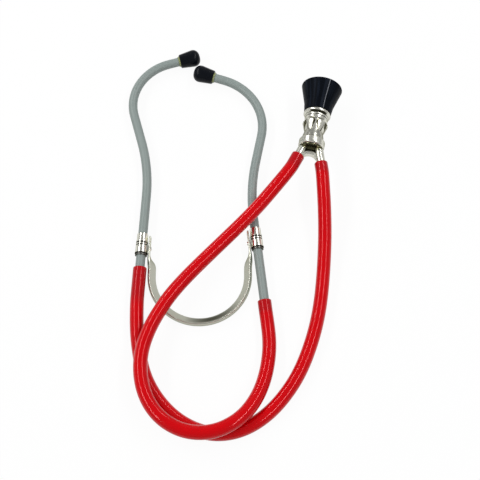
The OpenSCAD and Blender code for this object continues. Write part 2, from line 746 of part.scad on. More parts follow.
module bell() {
    mouth_in_r = bell_r - bell_wall;
    color("black") at_head() translate([0, 0, bell_z]) difference() {
        union() {
            rotate_extrude() polygon(concat(
                [[0, 0], [bell_foot_r, 0], [bell_waist_r, bell_l / 3]],
                arc([bell_r - bell_rim_round, bell_l - bell_rim_round], bell_rim_round, -15, 90, 6),
                [[mouth_in_r, bell_l], [bell_floor_r, bell_l - bell_cup], [0, bell_l - bell_cup]]
            ));
            translate([0, 0, -collar_h - bell_neck_l])
                cylinder(h = collar_h + bell_neck_l + bell_rim_round, r = bell_neck_r);
            rotate([0, 0, seam_turn]) rotate([90, 0, 0])
                translate([0, 0, -seam_w / 2]) linear_extrude(seam_w) polygon([
                    [bell_foot_r - seam_w, seam_w], [bell_foot_r + seam_t, seam_w],
                    [bell_waist_r + seam_t, bell_l / 3],
                    [bell_r + seam_t - seam_w, bell_l - bell_rim_round - seam_w],
                    [bell_r - 2 * seam_w, bell_l - bell_rim_round - seam_w],
                    [bell_waist_r - seam_w, bell_l / 3]
                ]);
        }
        translate([0, 0, -head_l]) cylinder(h = 2 * head_l, r = sound_r);
    }
}

// Y fitting, with the clip and the ring that its stem carries

hub_r = nut_recess_r - face_gap;
hub_foot = 0.6;
duct_r = 0.9;
clip_t = 0.9;
clip_groove = 0.5;
ring_thick_r = 0.4;
clip_z = nut_h + neck_h - pocket_h + face_gap;
ring_groove_z = stem_top - 2 * ring_thick_r - 3 * face_gap;
spigot_bore_r = 1.7;
saddle_share = 1;
saddle_r = web_h * saddle_share;
saddle_band = 2.2;
saddle_t = 3.4;

// Outline between the two spigots' axes, down to the saddle's arch
module web_outline() {
    foot = web_h + saddle_band;
    difference() {
        polygon([
            [-spigot_off, -face_gap], [spigot_off, -face_gap],
            [spigot_off + foot * tan(spigot_turn), -foot],
            [-spigot_off - foot * tan(spigot_turn), -foot]
        ]);
        translate([0, -web_h - saddle_r]) circle(saddle_r);
    }
}

module y_fitting() {
    color("silver") at_head() difference() {
        union() {
            translate([0, 0, -hub_foot]) cylinder(h = hub_foot + hub_top, r = hub_r);
            cylinder(h = stem_top, r = stem_r);
            intersection() {
                for (s = [LEFT, RIGHT]) translate([side[s] * spigot_off, 0, 0])
                    rotate([0, 180 - side[s] * spigot_turn, 0])
                        cylinder(h = spigot_l, r = spigot_r);
                translate([0, 0, -face_gap - 2 * spigot_l])
                    cylinder(h = 2 * spigot_l, r = 2 * spigot_l);
            }
            translate([0, web_t / 2, 0]) rotate([90, 0, 0]) linear_extrude(web_t) web_outline();
            translate([0, saddle_t / 2, 0]) rotate([90, 0, 0]) linear_extrude(saddle_t)
                intersection() {
                    web_outline();
                    translate([0, -web_h - saddle_r]) circle(saddle_r + saddle_band);
                }
        }
        for (s = [LEFT, RIGHT]) translate([side[s] * spigot_off, 0, 0])
            rotate([0, 180 - side[s] * spigot_turn, 0])
                cylinder(h = spigot_l + over, r = spigot_bore_r);
        translate([-spigot_off, 0, 0]) rotate([0, 90, 0]) cylinder(h = 2 * spigot_off, r = duct_r);
        cylinder(h = stem_top + over, r = duct_r);
        stem_groove(clip_z - fixed_fit, clip_t + 2 * fixed_fit, clip_groove);
        stem_groove(ring_groove_z, 2 * ring_thick_r, 2 * ring_thick_r);
    }
}

module stem_groove(z, h, depth) {
    translate([0, 0, z]) difference() {
        cylinder(h = h, r = stem_r + over);
        translate([0, 0, -over]) cylinder(h = h + 2 * over, r = stem_r - depth);
    }
}

module swivel_washer() {
    color("white") at_head() translate([0, 0, hub_top + fixed_fit]) difference() {
        cylinder(h = washer_t, r = hub_r);
        translate([0, 0, -over]) cylinder(h = washer_t + 2 * over, r = stem_r + turn_fit);
    }
}

module stem_clip() {
    color("dimgray") at_head() translate([0, 0, clip_z]) difference() {
        cylinder(h = clip_t, r = pocket_r - face_gap);
        translate([0, 0, -over]) cylinder(h = clip_t + 2 * over, r = stem_r - clip_groove + fixed_fit);
    }
}

module stem_ring() {
    color("black") at_head() translate([0, 0, ring_groove_z + ring_thick_r]) rotate_extrude()
        translate([stem_r - ring_thick_r, 0]) circle(ring_thick_r - fixed_fit);
}

yoke_spring();
rivet(LEFT);  // left_rivet
rivet(RIGHT);  // right_rivet
sleeve(LEFT);  // left_sleeve
sleeve(RIGHT);  // right_sleeve
stop_collar(LEFT);  // left_stop_collar
stop_collar(RIGHT);  // right_stop_collar
snap_ring(LEFT);  // left_snap_ring
snap_ring(RIGHT);  // right_snap_ring
ear_tube(LEFT);  // left_ear_tube
ear_tube(RIGHT);  // right_ear_tube
tip_adaptor(LEFT);  // left_tip_adaptor
tip_adaptor(RIGHT);  // right_tip_adaptor
ear_tip(LEFT);  // left_ear_tip
ear_tip(RIGHT);  // right_ear_tip
hose(LEFT, left_route, spigot_right_seat);  // left_hose
hose(RIGHT, right_route, spigot_left_seat);  // right_hose
bell();
bell_seal();
bell_collar();
barrel();
swivel_nut();
swivel_washer();
stem_clip();
stem_ring();
y_fitting();
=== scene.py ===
"""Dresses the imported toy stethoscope: hoses, yoke spring, ear tubes, head and stage."""

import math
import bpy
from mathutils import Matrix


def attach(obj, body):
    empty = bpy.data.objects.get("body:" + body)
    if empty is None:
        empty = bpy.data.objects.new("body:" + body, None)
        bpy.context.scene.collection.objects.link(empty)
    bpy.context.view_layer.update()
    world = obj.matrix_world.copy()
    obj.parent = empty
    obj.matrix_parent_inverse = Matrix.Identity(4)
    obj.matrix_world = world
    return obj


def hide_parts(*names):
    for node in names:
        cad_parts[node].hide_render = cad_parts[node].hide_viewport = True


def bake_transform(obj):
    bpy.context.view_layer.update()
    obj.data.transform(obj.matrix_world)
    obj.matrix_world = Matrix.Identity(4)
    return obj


bl_info = {
    "name": "Toy stethoscope",
    "version": (1, 0, 0),
    "blender": (4, 5, 0),
    "location": "3D View > Sidebar > Stethoscope",
    "description": "Builds the looks of a toy stethoscope around its packed solids",
    "category": "Object",
}

import bmesh
import bpy
from bpy.props import FloatProperty, FloatVectorProperty, IntProperty, PointerProperty
from mathutils import Vector

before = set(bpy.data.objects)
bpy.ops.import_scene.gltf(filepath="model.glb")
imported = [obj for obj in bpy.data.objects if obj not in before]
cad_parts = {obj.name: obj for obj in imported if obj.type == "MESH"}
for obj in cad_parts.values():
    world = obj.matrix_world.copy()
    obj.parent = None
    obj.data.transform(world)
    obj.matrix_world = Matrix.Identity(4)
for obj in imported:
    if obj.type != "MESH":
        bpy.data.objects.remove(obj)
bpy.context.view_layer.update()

MM = 0.001
LEFT, RIGHT = 0, 1
SIDE = (-1, 1)

# The camera, in millimetres and degrees
CAMERA_AIM, CAMERA_DISTANCE, CAMERA_TILT = (3, -41, 0), 585, 22.5
CAMERA_LENS, CAMERA_SENSOR = 67.5, 36.0

# Sizes of the solids, in millimetres and degrees. A pair is for the left and the right side
# The top of each sleeve, where a leg's own frame starts, and the leg's turn seen from above.
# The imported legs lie 0.07 mm further out than LEG_XY
LEG_Z = 4.9
LEG_XY = ((-59.8997, -45.2), (13.2997, -41.1))
LEG_TURN = (-2.5, 6.6)
TUBE_R = 3.0
# How far below that a tube ends, and how far below it the hose starts
TAIL = (40.0, 51.4)
HOSE_SEAT = (17.0, 43.3)
# A tube's straight, sweep radius, sweep turn, middle, crook radius, crook turn and end.
# The middle and the crook radius are within 0.1 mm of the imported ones
RUNS = (
    (33.6, 124.0, 18.4, 21.7894, 33.1539, 89.5, 6.8),
    (13.3, 132.0, 17.8, 20.5179, 37.8305, 83.0, 6.8),
)
# An ear tip's radius, length and share of it up to its widest place, and its collar
TIP_R, TIP_L, TIP_WIDE, COLLAR_T = 5.8, 14.2, 0.62, 1.0
# The swivel's face, where the head's own frame starts, with its turn and its dip
HEAD_XY = (49.7, 17.8)
HEAD_TURN, HEAD_DIP = 11.0, 3.0
HEAD_L, BELL_R = 48.0, 13.75
SEAM_TURN = -70.0
# The spigots, and how far along each one the hose starts
SPIGOT_L, SPIGOT_OFF, SPIGOT_TURN, SPIGOT_R = 17.8, 5.1, 17.0, 2.9
SPIGOT_SEAT = (7.5, 10.7)
# Middle of the yoke's bend, its radius, the leans and sizes of the strip, and its tabs
YOKE_XY, YOKE_R, LEG_STRAIGHT = (-22.6, -67.0), 29.8, 5.0
LEG_LEAN, BEND_LEAN = 30.0, 45.0
STRIP_W, STRIP_T, STRIP_EDGE = 7.0, 3.6, 0.8
TAB_T, TAB_H, TAB_FLAT, TAB_TOP, TAB_FOOT = 1.3, 5.0, 5.5, 4.2, 5.7
BEVEL_ANGLES = (7.5, 22.5, 37.5, 52.5, 67.5, 82.5)
# Share of a leg's length in which the tab grows into the full strip
GROWTH_SHARE = 0.8
# Steps along a tab, a leg and the bend, and over the strip's round back and flat face
TAB_STEPS, LEG_STEPS, BEND_STEPS, BACK_STEPS, FLAT_STEPS = 4, 28, 120, 20, 8
# How far the round back ends inside the strip's side
BACK_INSET = 0.04
# The streak of painted dark reflection in the bend's flat face: middle and half size along x, then
# across the strip
STREAK_X, STREAK_HALF_L, STREAK_ACROSS, STREAK_HALF_W = 8.0, 17.0, -0.1, 3.3
# Height above the flat face up to which a point counts as part of it
FLAT_LIMIT = 0.01
# Room round the metal in a hose's bore, and the rounding of its cut ends
TUBE_FIT, SPIGOT_FIT, CUT_ROUND = 0.04, 0.03, 0.35
CUT_ANGLES = (0, 30, 60)
# Distance of a hose's points on the ear tube, steps on the spigot, and steps between points
POINT_GAP, SPIGOT_STEPS, LINE_STEPS = 8, 3, 6
# A hose looks stretched up to this share of its length on the metal, fading at this rate,
# and shows this much of it at a cut end
GRIP_REACH, GRIP_FADE, GRIP_AT_CUT = 1.15, 3, 0.8

# Where what flexes with the left arm starts and stops turning, in metres
HOSE_FLEX = ((0.035, -0.15, 0), (-0.059, -0.15, 0))
YOKE_FLEX = ((-0.002, 0, 0), (-0.043, 0, 0))

# Painted shade on the head, and the bell's outer part, in metres along its axis and out from it:
# low, high and softness
FLARE_ALONG = (0.0064, 0.0108, 0.0012)
RIM_ALONG, RIM_OUT = (0.0051, 0.0058, 0.0003), (0.0068, 0.0100, 0.0002)
HUB_ALONG, HUB_OUT = (-0.0008, 0.0022, 0.0004), (0.0, 0.0071, 0.0003)
WEB_ALONG, WEB_OUT = (-0.0030, -0.0016, 0.0005), (0.0, 0.0034, 0.0008)
BELL_ALONG = (0.0272, 0.0478, 0.0004)
# The painted shadow in the collar's groove, along the axis in metres and round it in radians
GROOVE_ALONG, GROOVE_ROUND = (0.0236, 0.0250, 0.0002), (-2.1, -0.8, 0.2)
# Streaks strong enough to show as draw lines on the bell
DRAW_LINES = (0.6, 1.0, 0.1)
# The bell's seam, painted as a pale highlight along its ridge: half its width and its softness in
# radians
SEAM_HALF_W, SEAM_SOFT = 0.016, 0.008
# A petal's foot, the middle of its round top, its end, and half its width at foot and top
PETAL_FOOT, PETAL_ROUND, PETAL_END = 0.0112, 0.0169, 0.0197
PETAL_FOOT_W, PETAL_TOP_W = 0.0007, 0.0027
PETAL_LINE, PETAL_ENDS_SOFT = (0.0, 0.0005, 0.0002), 0.0003
# Rings of painted shade on a sleeve and its stop collar, in metres up from the sleeve's top
JOINT_ALONG = (-0.0006, 0.00025, 0.0002)
FOOT_ALONG = (-0.0095, -0.0072, 0.0003)
BEAD_ALONG = (-0.0021, -0.0016, 0.0002)
# Radius at which streaks are drawn, and how much they are stretched along the axis
STREAK_OUT, STREAK_STRETCH = 0.011, 0.06
# Noise between these limits gives the whole range of roughness
NOISE_LOW, NOISE_HIGH = 0.3, 0.7
# Openness above which a corner has no painted shade, and below which it has all of it
OPEN_CORNER, SHUT_CORNER = 0.88, 0.45
# The duller tone that plated metal mirrors near its outline
EDGE_TINT = (0.35, 0.35, 0.28, 1)

# The floor lies just under the object, and its half size, in metres
FLOOR_Z, FLOOR_HALF = -0.0003, 3.0
# Heights in the mirrored sky, from below to above, and the level at each
SKY_STOPS = ((0.0, 0.45), (0.1, 0.3), (0.25, 0.46), (0.45, 0.58), (0.62, 0.4), (1.0, 0.34))
# The strip lamps' size, and each one's place and share of the power. They face the Y axis
STRIP_SIZE = (0.12, 1.9)
STRIPS = (((-0.72, 0.3, 0.85), 1.0), ((0.55, 0.3, 0.9), 0.8))

# The hoses' routes, in metres, from the ear tube to the far spigot
LEFT_ROUTE = (
    (-0.0613, -0.098, 0.00445), (-0.0604, -0.108, 0.00435), (-0.0589, -0.117, 0.00435),
    (-0.057, -0.126, 0.00435), (-0.054, -0.1345, 0.00435), (-0.0492, -0.1431, 0.00435),
    (-0.0432, -0.1508, 0.00435), (-0.0362, -0.1574, 0.00435), (-0.0282, -0.1625, 0.00435),
    (-0.0196, -0.166, 0.00435), (-0.0105, -0.1674, 0.00435), (-0.001, -0.1663, 0.00435),
    (0.0076, -0.1633, 0.00435), (0.0158, -0.1584, 0.00435), (0.0234, -0.1519, 0.00435),
    (0.0299, -0.1444, 0.00435), (0.036, -0.1358, 0.00435), (0.0414, -0.1257, 0.00435),
    (0.0458, -0.1146, 0.00435), (0.0494, -0.1036, 0.00435), (0.0523, -0.0916, 0.00435),
    (0.0544, -0.079, 0.00445), (0.0558, -0.0665, 0.00505), (0.0568, -0.054, 0.0065),
    (0.0574, -0.042, 0.0091), (0.0574, -0.03, 0.01235), (0.0572, -0.019, 0.01505),
)
RIGHT_ROUTE = (
    (0.0212, -0.107, 0.00445), (0.021, -0.1185, 0.00495), (0.019, -0.1305, 0.0062),
    (0.0159, -0.1405, 0.00805), (0.0115, -0.1494, 0.0101), (0.0052, -0.1577, 0.0121),
    (-0.0025, -0.1634, 0.01325), (-0.0106, -0.1669, 0.01335), (-0.019, -0.1682, 0.01335),
    (-0.0277, -0.1675, 0.01335), (-0.0359, -0.1646, 0.01335), (-0.0435, -0.1596, 0.01335),
    (-0.0495, -0.1528, 0.01335), (-0.0536, -0.1451, 0.01335), (-0.056, -0.137, 0.01335),
    (-0.057, -0.1285, 0.01335), (-0.0566, -0.12, 0.01335), (-0.0546, -0.1114, 0.01335),
    (-0.0512, -0.1024, 0.01335), (-0.0462, -0.0928, 0.01315), (-0.0403, -0.0832, 0.01275),
    (-0.0326, -0.0734, 0.01235), (-0.0239, -0.0636, 0.0117), (-0.0142, -0.0533, 0.0115),
    (-0.004, -0.043, 0.0121), (0.0058, -0.0332, 0.01345), (0.0153, -0.0233, 0.01505),
    (0.0237, -0.0132, 0.0165), (0.0315, -0.0035, 0.01725),
)


class StageSettings(bpy.types.PropertyGroup):
    backdrop: FloatVectorProperty(
        name="Backdrop", description="Colour of the floor and the surroundings",
        subtype="COLOR", default=(1.0, 1.0, 1.0), min=0, max=1)
    sky: FloatProperty(
        name="Sky", description="Strength of the even light from all round", default=0.38, min=0)
    mirror: FloatProperty(
        name="Mirrored sky", description="Strength of the surroundings that metal mirrors",
        default=1.0, min=0)
    strip: FloatProperty(
        name="Strip lamp", description="Power of each of the two long lamps", default=10.0, min=0,
        subtype="POWER", unit="POWER")


class HoseSettings(bpy.types.PropertyGroup):
    diameter: FloatProperty(
        name="Diameter", description="Outside diameter of a hose", default=0.0087,
        min=0.006, max=0.0088, subtype="DISTANCE", unit="LENGTH", precision=5)
    sides: IntProperty(
        name="Sides", description="Faces round a hose", default=64, min=12, max=96)
    colour: FloatVectorProperty(
        name="Colour", description="Colour of the vinyl", subtype="COLOR",
        default=(0.53, 0.0, 0.0025), min=0, max=1)


class MetalSettings(bpy.types.PropertyGroup):
    tube: FloatVectorProperty(
        name="Ear tubes", description="Colour of the ear tubes' satin coat", subtype="COLOR",
        default=(0.22, 0.258, 0.246), min=0, max=1)
    plating: FloatVectorProperty(
        name="Plating", description="Colour of the bright plating", subtype="COLOR",
        default=(0.84, 0.835, 0.745), min=0, max=1)
    spring: FloatVectorProperty(
        name="Spring", description="Colour of the yoke spring's steel", subtype="COLOR",
        default=(0.52, 0.53, 0.46), min=0, max=1)


class PlasticSettings(bpy.types.PropertyGroup):
    black: FloatVectorProperty(
        name="Black", description="Colour of the bell and the ear tips", subtype="COLOR",
        default=(0.0024, 0.0034, 0.0058), min=0, max=1)
    olive: FloatVectorProperty(
        name="Olive", description="Colour of the ear tips' adaptors", subtype="COLOR",
        default=(0.27, 0.30, 0.13), min=0, max=1)


# Places in the part's frame


def cos_sin(angle):
    """Cosine and sine of an angle in degrees."""
    return math.cos(math.radians(angle)), math.sin(math.radians(angle))


def turned(angle, x, y):
    """A point turned about the origin, with the angle in degrees."""
    c, s = cos_sin(angle)
    return x * c - y * s, x * s + y * c


def leg_rise(side):
    """The angle, in degrees, at which a tube rises until its ear tip lies on the table."""
    straight, sweep_r, sweep, middle, crook_r, crook, end = RUNS[side]
    sin, cos, rad = math.sin, math.cos, math.radians
    reach = straight + sweep_r * sin(rad(sweep)) + middle * cos(rad(sweep))
    reach += crook_r * (sin(rad(crook - sweep)) + sin(rad(sweep)))
    reach += (end + COLLAR_T + TIP_L * TIP_WIDE) * cos(rad(crook - sweep))
    return math.degrees(math.asin((TIP_R - LEG_Z) / reach))


def leg_at(side, inward, along):
    """A point of a leg's own frame, in metres in the part's frame."""
    rise = math.radians(leg_rise(side))
    x, y = turned(LEG_TURN[side], -SIDE[side] * inward, along * math.cos(rise))
    return Vector((LEG_XY[side][0] + x, LEG_XY[side][1] + y, LEG_Z + along * math.sin(rise))) * MM


def head_at(across, along):
    """A point of the head's own frame, in metres in the part's frame."""
    dip = math.radians(HEAD_DIP)
    x, y = turned(-HEAD_TURN, across, along * math.cos(dip))
    foot = BELL_R * math.cos(dip) + HEAD_L * math.sin(dip)
    return Vector((HEAD_XY[0] + x, HEAD_XY[1] + y, foot - along * math.sin(dip))) * MM


def spigot_at(side, along):
    """A point of a spigot's axis, in metres in the part's frame."""
    turn = math.radians(SPIGOT_TURN)
    return head_at(SIDE[side] * (SPIGOT_OFF + along * math.sin(turn)), -along * math.cos(turn))


# Lines and skins


def smooth_line(points, steps):
    """A uniform cubic B-spline that starts and ends at the first and last point."""
    pts = [2 * points[0] - points[1], *points, 2 * points[-1] - points[-2]]
    line = []
    for i in range(len(pts) - 3):
        for k in range(steps):
            t = k / steps
            w = ((1 - t) ** 3, 3 * t**3 - 6 * t**2 + 4, -3 * t**3 + 3 * t**2 + 3 * t + 1, t**3)
            line.append(sum((pts[i + j] * w[j] for j in range(4)), Vector()) / 6)
    line.append(points[-1].copy())
    return line


def line_length(line):
    """Sum of the distances between a line's points."""
    return sum((b - a).length for a, b in zip(line, line[1:]))


def line_frames(line):
    """A heading and two directions across it at each point, with no twist between points."""
    frames = []
    across = None
    for i in range(len(line)):
        ahead = (line[min(i + 1, len(line) - 1)] - line[max(i - 1, 0)]).normalized()
        if across is None:
            across = ahead.cross(Vector((0, 0, 1))).normalized()
        across = (across - across.dot(ahead) * ahead).normalized()
        frames.append((ahead, across, across.cross(ahead)))
    return frames


def skin(name, rings, closed=False, shares=None):
    """A mesh over rings of the same count. closed joins the last ring to the first."""
    mesh = bpy.data.meshes.new(name)
    n, m = len(rings[0]), len(rings)
    verts = [p for ring in rings for p in ring]
    faces = []
    for i in range(m if closed else m - 1):
        j = (i + 1) % m
        for k in range(n):
            after = (k + 1) % n
            faces.append((i * n + k, i * n + after, j * n + after, j * n + k))
    if not closed:
        faces.append(tuple(range(n - 1, -1, -1)))
        faces.append(tuple((m - 1) * n + k for k in range(n)))
    mesh.from_pydata([tuple(v) for v in verts], [], faces)
    if shares:
        layer = mesh.attributes.new("grip", "FLOAT", "POINT")
        for i, share in enumerate(shares):
            for k in range(n):
                layer.data[i * n + k].value = share
    mesh.shade_smooth()
    mesh.update()
    obj = bpy.data.objects.new(name, mesh)
    bpy.context.collection.objects.link(obj)
    bm = bmesh.new()
    bm.from_mesh(mesh)
    bmesh.ops.recalc_face_normals(bm, faces=bm.faces)
    bm.to_mesh(mesh)
    bm.free()
    return obj


# Materials


def new_material(name):
    """A material with one shader, which is returned with it."""
    mat = bpy.data.materials.new(name)
    mat.use_nodes = True
    mat.node_tree.nodes.clear()
    out = mat.node_tree.nodes.new("ShaderNodeOutputMaterial")
    shader = mat.node_tree.nodes.new("ShaderNodeBsdfPrincipled")
    mat.node_tree.links.new(shader.outputs["BSDF"], out.inputs["Surface"])
    return mat, shader


def node(mat_or_tree, kind, **values):
    """A new shader node in a material or a group."""
    tree = getattr(mat_or_tree, "node_tree", mat_or_tree)
    made = tree.nodes.new("ShaderNode" + kind)
    for key, value in values.items():
        setattr(made, key, value)
    return made


def link(mat_or_tree, a, b):
    getattr(mat_or_tree, "node_tree", mat_or_tree).links.new(a, b)


def calc(mat_or_tree, operation, *values):
    """The result of a Math node. Each value is a number or a socket."""
    made = node(mat_or_tree, "Math", operation=operation)
    for sock, value in zip(made.inputs, values):
        if isinstance(value, float):
            sock.default_value = value
        else:
            link(mat_or_tree, value, sock)
    return made.outputs["Value"]


def grain_group():
    """Fine grain: a height and a slowly changing mask, both from 0 to 1."""
    name = "Fine grain"
    if name in bpy.data.node_groups:
        return bpy.data.node_groups[name]
    tree = bpy.data.node_groups.new(name, "ShaderNodeTree")
    inputs = (("Scale", 1.0, 900.0), ("Patch scale", 1.0, 60.0), ("Detail", 0.0, 3.0))
    for label, low, value in inputs:
        sock = tree.interface.new_socket(label, in_out="INPUT", socket_type="NodeSocketFloat")
        sock.default_value = value
        sock.min_value = low
    tree.interface.new_socket("Height", in_out="OUTPUT", socket_type="NodeSocketFloat")
    tree.interface.new_socket("Patches", in_out="OUTPUT", socket_type="NodeSocketFloat")
    enter = node(tree, "TexCoord")
    gin = tree.nodes.new("NodeGroupInput")
    gout = tree.nodes.new("NodeGroupOutput")
    for scale, output in (("Scale", "Height"), ("Patch scale", "Patches")):
        noise = node(tree, "TexNoise")
        link(tree, enter.outputs["Object"], noise.inputs["Vector"])
        link(tree, gin.outputs[scale], noise.inputs["Scale"])
        link(tree, gin.outputs["Detail"], noise.inputs["Detail"])
        link(tree, noise.outputs["Fac"], gout.inputs[output])
    return tree


def add_grain(mat, shader, scale, patch_scale, depth, rough, detail=3.0):
    """Puts the grain group in a material: depth in metres, rough as its two limits."""
    group = node(mat, "Group", node_tree=grain_group())
    group.inputs["Scale"].default_value = scale
    group.inputs["Patch scale"].default_value = patch_scale
    group.inputs["Detail"].default_value = detail
    bumps = node(mat, "Bump")
    bumps.inputs["Distance"].default_value = depth
    link(mat, group.outputs["Height"], bumps.inputs["Height"])
    link(mat, bumps.outputs["Normal"], shader.inputs["Normal"])
    span = node(mat, "MapRange")
    span.inputs["From Min"].default_value = NOISE_LOW
    span.inputs["From Max"].default_value = NOISE_HIGH
    span.inputs["To Min"].default_value = rough[0]
    span.inputs["To Max"].default_value = rough[1]
    link(mat, group.outputs["Patches"], span.inputs["Value"])
    link(mat, span.outputs["Result"], shader.inputs["Roughness"])
    return group


def shaded_colour(mat, shader, group, dark, light):
    """Base colour that drifts between two close shades over the surface."""
    mix = node(mat, "Mix", data_type="RGBA")
    mix.inputs["A"].default_value = (*dark, 1)
    mix.inputs["B"].default_value = (*light, 1)
    link(mat, group.outputs["Patches"], mix.inputs["Factor"])
    link(mat, mix.outputs["Result"], shader.inputs["Base Color"])


def scaled(colour, factor):
    """A colour made lighter or darker, and no lighter than white."""
    return tuple(min(1.0, c * factor) for c in colour)


def place_group(name, start, turn):
    """Place in a frame of its own: metres along its axis, radius, angle, and streaks along it."""
    if name in bpy.data.node_groups:
        return bpy.data.node_groups[name]
    tree = bpy.data.node_groups.new(name, "ShaderNodeTree")
    sock = tree.interface.new_socket("Streak scale", in_out="INPUT", socket_type="NodeSocketFloat")
    sock.default_value = 500.0
    for label in ("Along", "Radius", "Angle", "Streaks"):
        tree.interface.new_socket(label, in_out="OUTPUT", socket_type="NodeSocketFloat")
    gin, gout = tree.nodes.new("NodeGroupInput"), tree.nodes.new("NodeGroupOutput")
    coord = node(tree, "TexCoord")
    place = node(tree, "Mapping", vector_type="TEXTURE")
    place.inputs["Location"].default_value = start
    place.inputs["Rotation"].default_value = [math.radians(a) for a in turn]
    link(tree, coord.outputs["Object"], place.inputs["Vector"])
    split = node(tree, "SeparateXYZ")
    link(tree, place.outputs["Vector"], split.inputs["Vector"])
    link(tree, split.outputs["Z"], gout.inputs["Along"])
    flat = node(tree, "CombineXYZ")
    link(tree, split.outputs["X"], flat.inputs["X"])
    link(tree, split.outputs["Y"], flat.inputs["Y"])
    size = node(tree, "VectorMath", operation="LENGTH")
    link(tree, flat.outputs["Vector"], size.inputs[0])
    link(tree, size.outputs["Value"], gout.inputs["Radius"])
    angle = calc(tree, "ARCTAN2", split.outputs["Y"], split.outputs["X"])
    link(tree, angle, gout.inputs["Angle"])
    round_it = node(tree, "VectorMath", operation="NORMALIZE")
    link(tree, flat.outputs["Vector"], round_it.inputs[0])
    shrunk = node(tree, "VectorMath", operation="SCALE")
    shrunk.inputs["Scale"].default_value = STREAK_OUT
    link(tree, round_it.outputs["Vector"], shrunk.inputs[0])
    lift = node(tree, "CombineXYZ")
    stretched = calc(tree, "MULTIPLY", split.outputs["Z"], STREAK_STRETCH)
    link(tree, stretched, lift.inputs["Z"])
    joined = node(tree, "VectorMath", operation="ADD")
    link(tree, shrunk.outputs["Vector"], joined.inputs[0])
    link(tree, lift.outputs["Vector"], joined.inputs[1])
    noise = node(tree, "TexNoise")
    link(tree, joined.outputs["Vector"], noise.inputs["Vector"])
    link(tree, gin.outputs["Streak scale"], noise.inputs["Scale"])
    link(tree, noise.outputs["Fac"], gout.inputs["Streaks"])
    return tree


def head_place_group():
    return place_group("Head place", head_at(0, 0), (-90 - HEAD_DIP, 0, -HEAD_TURN))


def leg_place_group(side):
    name = ("Left", "Right")[side] + " leg place"
    return place_group(name, leg_at(side, 0, 0), (-90 + leg_rise(side), 0, LEG_TURN[side]))


def band(mat, value, low, high, soft):
    """A mask of 1 where a value lies between low and high, with soft edges."""
    masks = []
    for start, end in ((low - soft, low), (high + soft, high)):
        span = node(mat, "MapRange", interpolation_type="SMOOTHSTEP")
        span.inputs["From Min"].default_value = start
        span.inputs["From Max"].default_value = end
        link(mat, value, span.inputs["Value"])
        masks.append(span.outputs["Result"])
    return calc(mat, "MULTIPLY", *masks)


def zone(mat, place, **bands):
    """A mask of 1 where each named output of a place group lies in its band."""
    mask = None
    for label, limits in bands.items():
        inside = band(mat, place.outputs[label], *limits)
        mask = calc(mat, "MULTIPLY", mask, inside) if mask else inside
    return mask


def tint(mat, shader, mask, colour):
    """Lays a colour over the base colour where a mask shows it."""
    under = shader.inputs["Base Color"].links[0].from_socket
    mix = node(mat, "Mix", data_type="RGBA")
    link(mat, mask, mix.inputs["Factor"])
    link(mat, under, mix.inputs["A"])
    mix.inputs["B"].default_value = (*colour, 1)
    link(mat, mix.outputs["Result"], shader.inputs["Base Color"])


def painted_corner_shade(mat, shader, reach, colour, strength):
    """Painted shade in the corners where two surfaces meet."""
    near = node(mat, "AmbientOcclusion", samples=8)
    near.inputs["Distance"].default_value = reach
    span = node(mat, "MapRange")
    span.inputs["From Min"].default_value = OPEN_CORNER
    span.inputs["From Max"].default_value = SHUT_CORNER
    span.inputs["To Max"].default_value = strength
    link(mat, near.outputs["AO"], span.inputs["Value"])
    tint(mat, shader, span.outputs["Result"], colour)


def plain_finish(name, colour, metal, scale, patch_scale, depth, rough, drift=0.12, gloss=0.5):
    """A grained material with its shader.

    scale and patch_scale are the grain's, depth its height in metres and rough its two limits.
    drift is how far the colour varies, and gloss the specular level.
    """
    mat, shader = new_material(name)
    shader.inputs["Metallic"].default_value = metal
    shader.inputs["Specular IOR Level"].default_value = gloss
    if metal:
        shader.inputs["Specular Tint"].default_value = EDGE_TINT
    group = add_grain(mat, shader, scale, patch_scale, depth, rough)
    shaded_colour(mat, shader, group, scaled(colour, 1 - drift), scaled(colour, 1 + drift))
    return mat, shader


def head_plating(settings):
    """Bright plating with painted shade in the head's recesses, corners and groove, and over its
    flare.
    """
    mat, shader = plain_finish("head plating", scaled(settings.plating, 0.86), 1.0, 260, 90,
                               0.000003, (0.24, 0.3), drift=0.05)
    # Painted shade: darker colour in the corners, over the flare, along the petal outlines, on the
    # rim, the hub, the web and in the collar's groove
    dark, deep_shade = (0.13, 0.125, 0.08), (0.045, 0.043, 0.025)
    painted_corner_shade(mat, shader, 0.0016, dark, 0.9)
    place = node(mat, "Group", node_tree=head_place_group())
    tint(mat, shader, zone(mat, place, Along=FLARE_ALONG), scaled(settings.plating, 0.56))
    tint(mat, shader, petal_outline(mat, place), dark)
    tint(mat, shader, zone(mat, place, Along=RIM_ALONG, Radius=RIM_OUT), scaled(dark, 2.0))
    tint(mat, shader, zone(mat, place, Along=HUB_ALONG, Radius=HUB_OUT), scaled(dark, 2.2))
    web = zone(mat, place, Along=WEB_ALONG, Radius=WEB_OUT)
    groove = zone(mat, place, Along=GROOVE_ALONG, Angle=GROOVE_ROUND)
    tint(mat, shader, calc(mat, "MAXIMUM", web, groove), deep_shade)
    return mat


